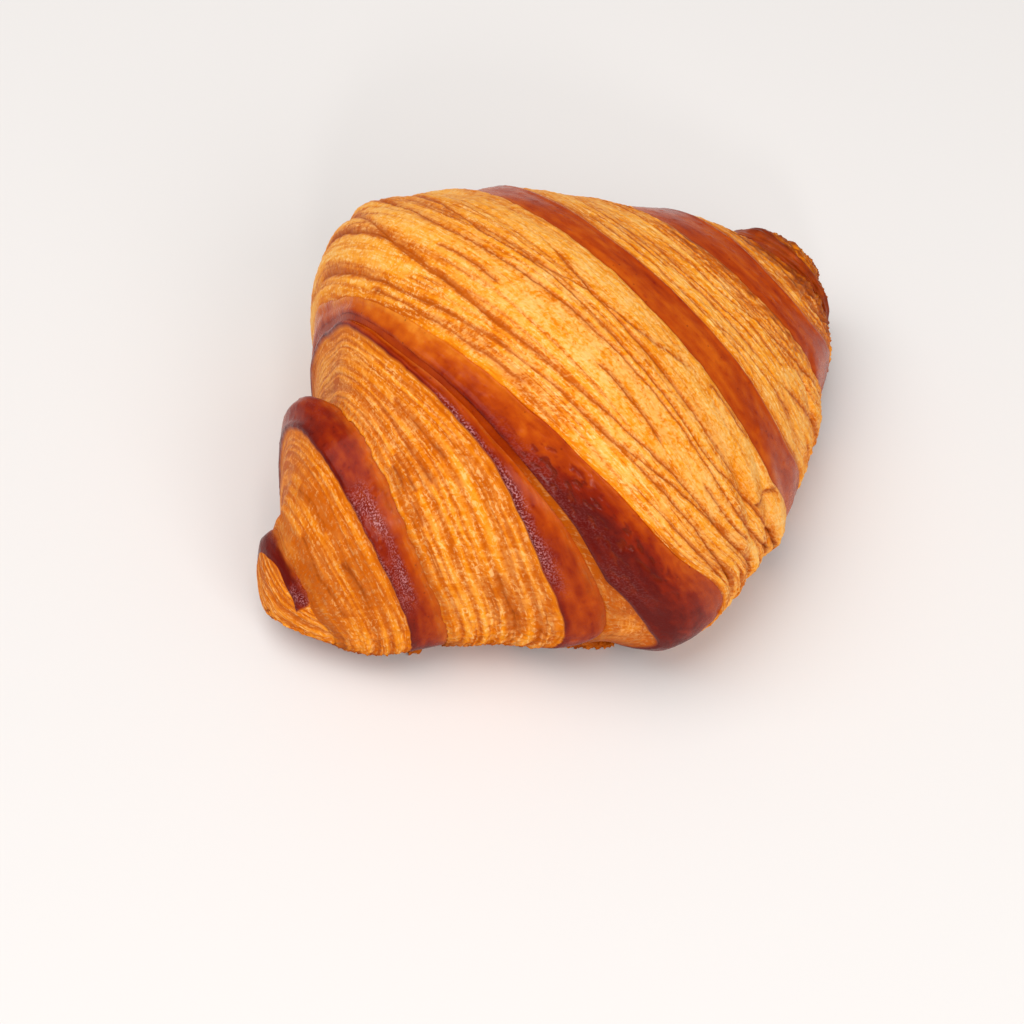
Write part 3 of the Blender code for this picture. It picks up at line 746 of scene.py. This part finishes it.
def dressMesh(mesh, masks, spread):
    # what the material reads: its masks, and a UV map in millimetres across the strips and round the roll
    for key in maskNames:
        mesh.attributes.new(key, "FLOAT", "POINT").data.foreach_set("value", masks[key])
    corners = np.empty(len(mesh.loops), dtype=np.int32)
    mesh.loops.foreach_get("vertex_index", corners)
    mesh.uv_layers[0].name = "layerMap"
    mesh.uv_layers[0].data.foreach_set("uv", spread[corners].ravel())


def meshPoints(mesh):
    flat = np.empty(len(mesh.vertices) * 3)
    mesh.vertices.foreach_get("co", flat)
    return flat.reshape(-1, 3)


def makeWrap(name, wrap):
    # a flat sheet of squares, rolled up into the wrap and closed along its seam and at its ends
    points, grid = wrapSurface(wrap)
    rows, cols = points.shape[:2]
    selectNothing()
    bpy.ops.mesh.primitive_grid_add(x_subdivisions=cols - 1, y_subdivisions=rows - 1, size=1.0)
    piece = bpy.context.active_object
    mesh = piece.data
    flat = meshPoints(mesh)
    col = np.rint((flat[:, 0] + 0.5) * (cols - 1)).astype(int)
    row = np.rint((flat[:, 1] + 0.5) * (rows - 1)).astype(int)
    mesh.vertices.foreach_set("co", (points[row, col] * mm).ravel())
    dressMesh(mesh, {key: grid[key][row, col] for key in maskNames},
              np.stack([grid["across"][row, col], grid["around"][row, col]], axis=1))
    bpy.ops.object.mode_set(mode="EDIT")
    bpy.ops.mesh.select_all(action="SELECT")
    bpy.ops.mesh.remove_doubles(threshold=1e-7)
    bpy.ops.mesh.normals_make_consistent(inside=False)
    bpy.ops.object.mode_set(mode="OBJECT")
    print(f"{name}: {rows} x {cols} points")
    return piece


# Wraps from the left tip to the right tip: their strips, where their girth is measured, points once round them,
# and how far apart their rows of points lie
wraps = {
    "leftTipWrap": {"strips": (0, 1), "middle": -63.0, "columns": 300, "endRows": 60, "skinRow": 0.22},
    "leftOuterWrap": {"strips": (2, 3), "middle": -55.0, "columns": 460, "skinRow": 0.28, "cutRow": 0.20},
    "leftInnerWrap": {"strips": (4, 5), "middle": -41.0, "columns": 620, "skinRow": 0.28, "cutRow": 0.20},
    "centreSkin": {"strips": (6, 7), "middle": -15.0, "columns": 620, "skinRow": 0.24, "cutRow": 0.24},
    "centreLayers": {"strips": (8,), "middle": -5.0, "columns": 580, "cutRow": 0.22},
    "rightInnerWrap": {"strips": (9, 10), "middle": 25.0, "columns": 600, "skinRow": 0.28, "cutRow": 0.20},
    "rightOuterWrap": {"strips": (11, 12), "middle": 48.0, "columns": 460, "skinRow": 0.26, "cutRow": 0.20},
    "rightTipWrap": {"strips": (13, 14), "middle": 60.0, "columns": 320, "endRows": 60, "skinRow": 0.22},
}


def linear(code):
    parts = [int(code[i:i + 2], 16) / 255.0 for i in (1, 3, 5)]
    return [p / 12.92 if p <= 0.04045 else ((p + 0.055) / 1.055)**2.4 for p in parts] + [1.0]


def addNode(tree, kind, *inputs, output=0, **settings):
    # adds any shader node, or a Math node where kind is its operation, and hands back one of its outputs;
    # inputs are values, or outputs to link, in order or in a dictionary
    node = tree.nodes.new("ShaderNode" + ("Math" if kind.isupper() else kind))
    if kind.isupper():
        node.operation = kind
    for key, value in settings.items():
        setattr(node, key, value)
    named = inputs[0] if inputs and isinstance(inputs[0], dict) else dict(enumerate(inputs))
    for key, value in named.items():
        if hasattr(value, "links"):
            tree.links.new(value, node.inputs[key])
        else:
            node.inputs[key].default_value = value
    return node.outputs[output]


# Baked laminated dough. The open layers are golden, pale and crumbly where they puffed out, deeper orange
# between, with painted shade there; the outside has a thin film of baked egg wash, darker, redder and glossy.
dough = {
    "layers": ((0.0, "#C25A02"), (0.25, "#DA7204"), (0.5, "#ED8C10"), (0.75, "#F8A430"), (1.0, "#FFC266")),
    "cream": "#F9BE6C",
    # pale flakes, partly painted glints
    "fleckAndGlint": "#FFCF88",
    "baked": "#84320A",
    # painted shade along the partings and rib valleys
    "partingShade": ("#BE5A06", "#783006"),    # where it is baked least and most
    # painted shade: the colour of the grooves, laps, crevices and wrinkle dents
    "creaseShade": "#9A3403",
    "skin": ((0.0, "#E08224"), (0.25, "#C85C0C"), (0.5, "#AC3E05"), (0.75, "#861F04"), (1.0, "#5E0E06")),
    "spot": "#5A0E04",
    "wine": "#5C0D0C",
    # painted glint on the tiny blisters of the skin
    "blister": "#E28F90",
    # noises: mm across and along the layers, then detail, roughness and distortion
    "thread": (0.34, 6.0, 2.0, 0.5, 0.0),    # the finest lines of the layers
    "dash": (0.38, 1.05, 3.0, 0.6, 0.7),     # pale crisp dashes in rows on the layers
    "crumb": (0.75, 0.95, 4.0, 0.6, 0.6),    # the puffed crumb in the middle bands
    "stain": (2.0, 10.0, 4.0, 0.55, 0.0),    # uneven baking of the egg wash
    "pearls": (0.30, 0.38, 2.0, 0.6, 0.0),   # blisters of the egg wash; real ones are finer and wouldn't show
    "patches": 5.0,                # mm, slow change of the tone from place to place
    "spots": 2.2,                  # mm between dark baked spots
    "layerRoughness": 0.50,
    "skinRoughness": 0.26,
    "bumpDepth": 0.3,              # mm
}


def makeDough():
    material = bpy.data.materials.new("bakedLaminatedDough")
    material.use_nodes = True
    tree = material.node_tree
    shader = tree.nodes["Principled BSDF"]
    add = partial(addNode, tree)
    eased = {"interpolation_type": "SMOOTHSTEP"}
    mixing = {"data_type": "RGBA", "output": 2}

    def centred(value, amount):
        return add("MULTIPLY", add("SUBTRACT", value, 0.5), amount)

    skin, ridge, creaseShade, bake, pale, gap, glitter = [
        add("Attribute", output="Fac", attribute_name=key) for key in maskNames]
    flat = add("UVMap", uv_map="layerMap")
    shake = add("TexNoise", {"Vector": flat, "Scale": 0.16, "Detail": 1.0, "Roughness": 0.55}, output="Color")
    flat = add("VectorMath", shake, (0.6, 0.8, 0.0), flat, operation="MULTIPLY_ADD")
    noises = []
    for key in ("thread", "dash", "crumb", "stain", "pearls"):
        across, along, detail, roughness, distortion = dough[key]
        spread = add("Mapping", {"Vector": flat, "Scale": (1.0 / across, 1.0 / along, 1.0)})
        noises.append(add("TexNoise", {"Vector": spread, "Scale": 1.0, "Detail": detail, "Roughness": roughness,
                                       "Distortion": distortion}))
    thread, dash, crumb, stain, pearls = noises
    where = add("TexCoord", output="Object")
    patches = add("TexNoise", {"Vector": where, "Scale": 1.0 / (dough["patches"] * mm), "Detail": 3.0,
                               "Roughness": 0.6})
    # open layers: pale where they stand proud, orange in between; partly their own tone, partly painted light on the
    # crests and painted shade in the hollows
    level = add("SUBTRACT", ridge, add("MULTIPLY", bake, 0.45))
    level = add("ADD", level, centred(thread, add("SUBTRACT", 0.85, add("MULTIPLY", pale, 0.75))))
    level = add("ADD", level, centred(crumb, add("ADD", 0.4, add("MULTIPLY", pale, 0.2))))
    level = add("ADD", level, centred(patches, 0.45))
    # painted shade: deeper orange within about a millimetre of each parting and rib valley
    shadeNearGaps = add("SUBTRACT", add("MapRange", gap, 0.0, 0.5, **eased), 0.8)
    level = add("ADD", level, add("MULTIPLY", shadeNearGaps, 0.5), use_clamp=True)
    cream = add("ADD", add("MULTIPLY", patches, 0.42), add("MULTIPLY", crumb, 0.58))
    cream = add("MULTIPLY", add("MapRange", cream, 0.42, 0.60, **eased), pale)
    # pale flecks on what stands proud and isn't baked dark: partly real flakes, partly painted glints
    proud = add("SUBTRACT", -0.05, add("MULTIPLY", pale, 0.5))
    proud = add("ADD", add("MULTIPLY", ridge, 1.8), proud, use_clamp=True)
    fleckAndGlint = add("ADD", add("MULTIPLY", dash, 0.50), add("MULTIPLY", thread, 0.34))
    fleckAndGlint = add("MapRange", add("ADD", fleckAndGlint, add("MULTIPLY", crumb, 0.16)), 0.51, 0.60, **eased)
    fleckAndGlint = add("MULTIPLY", fleckAndGlint, proud)
    fleckAndGlint = add("MULTIPLY", fleckAndGlint, add("SUBTRACT", 1.2, bake), use_clamp=True)
    brown = add("ADD", add("SUBTRACT", bake, 0.44), add("ADD", centred(crumb, 0.7), centred(thread, 0.5)))
    brown = add("MULTIPLY", brown, 1.5, use_clamp=True)
    # painted shade: the thin dark lines where two bundles of layers part and along the valleys between ribs
    lightest, darkest = [linear(code) for code in dough["partingShade"]]
    partingShade = add("Mix", {0: bake, 6: lightest, 7: darkest}, **mixing)
    nearGap = add("MapRange", add("ADD", gap, centred(crumb, 0.10)), 0.03, 0.15, **eased)
    # egg-washed skin; its tiny blisters get painted glints, bright pink dots that crowd where the film baked darkest
    tone = add("ADD", add("ADD", bake, centred(stain, 0.52)), centred(crumb, 0.16), use_clamp=True)
    cells = add("TexVoronoi", {"Vector": where, "Scale": 1.0 / (dough["spots"] * mm)})
    spot = add("MULTIPLY", add("SUBTRACT", 0.13, cells), 10.0, use_clamp=True)
    glintDots = add("MapRange", add("ADD", pearls, centred(crumb, 0.45)), 0.46, 0.62, **eased)
    glintDots = add("MULTIPLY", glintDots, glitter)
    # the colours of the layers and of the skin, each over the ones before it
    laid = []
    for key, value, coats in (
            ("layers", level, (
                (add("MULTIPLY", cream, 0.78), linear(dough["cream"])),
                (add("MULTIPLY", fleckAndGlint, 0.66), linear(dough["fleckAndGlint"])),
                (add("MULTIPLY", brown, 0.88), linear(dough["baked"])),
                # painted shade along the partings
                (add("MULTIPLY", add("SUBTRACT", 1.0, nearGap), 0.80), partingShade))),
            ("skin", tone, (
                (add("MULTIPLY", spot, 0.6), linear(dough["spot"])),
                (add("MULTIPLY", glitter, 0.5), linear(dough["wine"])),
                # painted glints
                (add("MULTIPLY", glintDots, 0.68), linear(dough["blister"]))))):
        colour = add("ValToRGB", value)
        stops = colour.node.color_ramp.elements
        while len(stops) < len(dough[key]):
            stops.new(0.5)
        for stop, (position, code) in zip(stops, dough[key]):
            stop.position, stop.color = position, linear(code)
        for amount, coat in coats:
            colour = add("Mix", {0: amount, 6: colour, 7: coat}, **mixing)
        laid.append(colour)
    colour = add("Mix", {0: skin, 6: laid[0], 7: laid[1]}, **mixing)
    # painted shade in the grooves, laps, crevices and wrinkle dents
    colour = add("Mix", {0: add("MULTIPLY", creaseShade, 0.7), 6: colour, 7: linear(dough["creaseShade"])}, **mixing)
    # gloss: the egg wash is smooth where it lies thick and dry where it cracked
    rough = add("MULTIPLY", skin, dough["skinRoughness"] - dough["layerRoughness"])
    rough = add("ADD", add("ADD", rough, dough["layerRoughness"]), centred(crumb, 0.25), use_clamp=True)
    coat = add("ADD", add("MULTIPLY", skin, 0.08), add("MULTIPLY", glintDots, 0.3), use_clamp=True)
    # fine crumb on the layers, a finely blistered film where the skin baked darkest
    film = add("MULTIPLY", add("ADD", glintDots, add("MULTIPLY", pearls, 0.8)),
               add("ADD", glitter, add("MULTIPLY", skin, 0.05)))
    dry = add("ADD", add("MULTIPLY", crumb, 0.45), add("MULTIPLY", thread, 0.25))
    dry = add("MULTIPLY", add("ADD", dry, add("MULTIPLY", fleckAndGlint, 0.18)), add("SUBTRACT", 1.0, skin))
    bump = add("Bump", {"Strength": 0.6, "Distance": dough["bumpDepth"] * mm, "Height": add("ADD", dry, film)})
    for key, value in (("Base Color", colour), ("Roughness", rough), ("Coat Weight", coat), ("Normal", bump)):
        tree.links.new(value, shader.inputs[key])
    shader.inputs["Coat Roughness"].default_value = 0.2
    shader.inputs["IOR"].default_value = 1.46
    shader.inputs["Specular IOR Level"].default_value = 0.06
    return material


# Bits that ran out on the tray and burnt: middle and radii in mm, turn about the upright in degrees
burntBits = (
    ((-47.0, -16.3, 1.6), (3.4, 2.1, 2.0), 35.0), ((-45.2, -17.2, 1.3), (2.2, 1.5, 1.4), 60.0),
    ((-22.6, -36.2, 1.6), (2.4, 1.7, 2.0), 20.0), ((-20.2, -37.7, 1.8), (2.8, 1.9, 2.2), -30.0),
    ((-18.6, -38.8, 1.5), (2.1, 1.6, 1.8), 60.0), ((-24.6, -34.5, 1.3), (1.7, 1.4, 1.6), -10.0),
)


def makeBits(name, bits):
    made = []
    for number, (middle, radii, turn) in enumerate(bits):
        selectNothing()
        bpy.ops.mesh.primitive_ico_sphere_add(subdivisions=5, radius=1.0)
        bit = bpy.context.active_object
        mesh = bit.data
        points = meshPoints(mesh)
        spots = [Vector(point) * 1.3 + Vector((7.0 * number, 0.0, 3.0)) for point in points]
        crumpled = np.array([1.0 + 0.55 * noise.noise(spot) + 0.45 * abs(noise.noise(spot * 2.3))
                             + 0.18 * noise.noise(spot * 5.5) for spot in spots])
        points = points * crumpled[:, None] * np.array(radii)
        c, s = math.cos(math.radians(turn)), math.sin(math.radians(turn))
        points = points @ np.array(((c, s, 0.0), (-s, c, 0.0), (0.0, 0.0, 1.0))) + np.array(middle)
        points[:, 2] = np.maximum(points[:, 2], 0.0)
        mesh.vertices.foreach_set("co", (points * mm).ravel())
        masks = {"skin": 0.15, "ridge": 0.3, "creaseShade": 0.0, "bake": np.clip(1.15 - 0.75 * (crumpled - 0.6), 0.0, 1.0),
                 "pale": 0.0, "gap": 1.0, "glitter": 0.0}
        dressMesh(mesh, {key: np.zeros(len(points)) + value for key, value in masks.items()},
                  np.stack([points[:, 0] + points[:, 2], points[:, 1]], axis=1))
        made.append(bit)
    selectNothing()
    for bit in made:
        bit.select_set(True)
    bpy.context.view_layer.objects.active = made[0]
    bpy.ops.object.join()
    print(f"{name}: {len(made)} bits")
    return bpy.context.active_object


bakedDough = makeDough()
pieces = {"burntBits": makeBits("burntBits", burntBits)}
for name, wrap in wraps.items():
    pieces[name] = makeWrap(name, wrap)
for name, piece in pieces.items():
    piece.name = name
    piece.data.name = name
    selectNothing()
    piece.select_set(True)
    bpy.ops.object.shade_smooth()
    piece.data.materials.append(bakedDough)
    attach(piece, "root")
    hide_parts("croissant")
print("wraps laid over one another")

# Studio: a pale floor, a big soft light overhead and the photograph's viewing angle, in metres
studio = {
    "floor": "#E4E0DD",
    "world": 0.42,                     # strength of the light all round
    "top": {"place": (-0.35, 0.10, 1.15), "size": 1.1, "watts": 10.4},
    "front": {"place": (-0.15, -0.95, 0.75), "size": 0.6, "watts": 4.8},
    "spark": {"place": (-0.55, -0.75, 0.55), "size": 0.12, "watts": 1.6},
    "camera": (-0.24800, -0.30802, 0.45963),
    "target": (-0.01285, -0.00233, 0.0),
    "sensor": 36.0,                    # mm
    "lens": 36.0 * 3000.0 / 1024.0,    # mm
}
selectNothing()
bpy.ops.mesh.primitive_plane_add(size=6.0, location=(0.0, 0.0, -0.0002))
floor = bpy.context.active_object
floor.name = "floor"
bpy.ops.object.transform_apply(location=True)
floorBoard = bpy.data.materials.new("mattWhiteBoard")    # matt painted board: even, pale and without gloss
floorBoard.use_nodes = True
floorShader = floorBoard.node_tree.nodes["Principled BSDF"]
floorShader.inputs["Base Color"].default_value = linear(studio["floor"])
floorShader.inputs["Roughness"].default_value = 0.9
floor.data.materials.append(floorBoard)
selectNothing()


def aimAt(item, place, target):
    item.location = place
    item.rotation_euler = (Vector(target) - Vector(place)).to_track_quat("-Z", "Y").to_euler()


for key in ("top", "front", "spark"):
    lamp = studio[key]
    data = bpy.data.lights.new(key + "Light", "AREA")
    data.energy = lamp["watts"]
    data.size = lamp["size"]
    item = bpy.data.objects.new(key + "Light", data)
    bpy.context.collection.objects.link(item)
    aimAt(item, lamp["place"], (0.0, 0.0, 0.03))
world = bpy.data.worlds.new("softRoom")
bpy.context.scene.world = world
world.use_nodes = True
background = world.node_tree.nodes["Background"]
background.inputs["Color"].default_value = (1.0, 1.0, 1.0, 1.0)
background.inputs["Strength"].default_value = studio["world"]
bpy.context.scene.view_settings.view_transform = "Standard"
cameraData = bpy.data.cameras.new("photoCamera")
cameraData.lens = studio["lens"]
cameraData.sensor_width = studio["sensor"]
cameraData.clip_start = 0.01
camera = bpy.data.objects.new("photoCamera", cameraData)
bpy.context.collection.objects.link(camera)
aimAt(camera, studio["camera"], studio["target"])
bpy.context.scene.camera = camera
print("studio ready")
